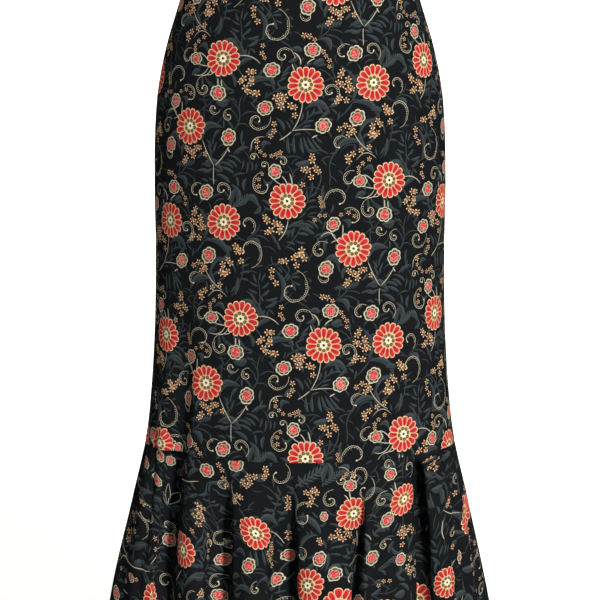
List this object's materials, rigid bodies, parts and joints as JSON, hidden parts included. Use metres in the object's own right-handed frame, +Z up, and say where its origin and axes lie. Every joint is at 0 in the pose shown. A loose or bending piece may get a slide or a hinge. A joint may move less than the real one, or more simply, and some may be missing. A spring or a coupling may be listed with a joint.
{
  "type": "maxi skirt",
  "caption": "Long fitted skirt filled out as if worn, smooth over the hips, with a waistband and a flared fluted flounce from the knee down.",
  "frame": {"origin": "middle of the waist, half way up the waistband, where the wearer holds the skirt", "axes": "+Z up along the skirt, the front faces -Y, +X is to the right when looking at the front"},
  "size_m": [0.525, 0.3987, 0.9627],
  "materials": {
    "printed_cloth": "matte printed crepe jersey",
    "band_cloth": "matte crepe jersey, folded double"
  },
  "bodies": {
    "root": {"front": "printed_cloth", "back": "printed_cloth", "flounce_front": "printed_cloth", "flounce_back": "printed_cloth", "waistband": "band_cloth"}
  },
  "joints": []
}
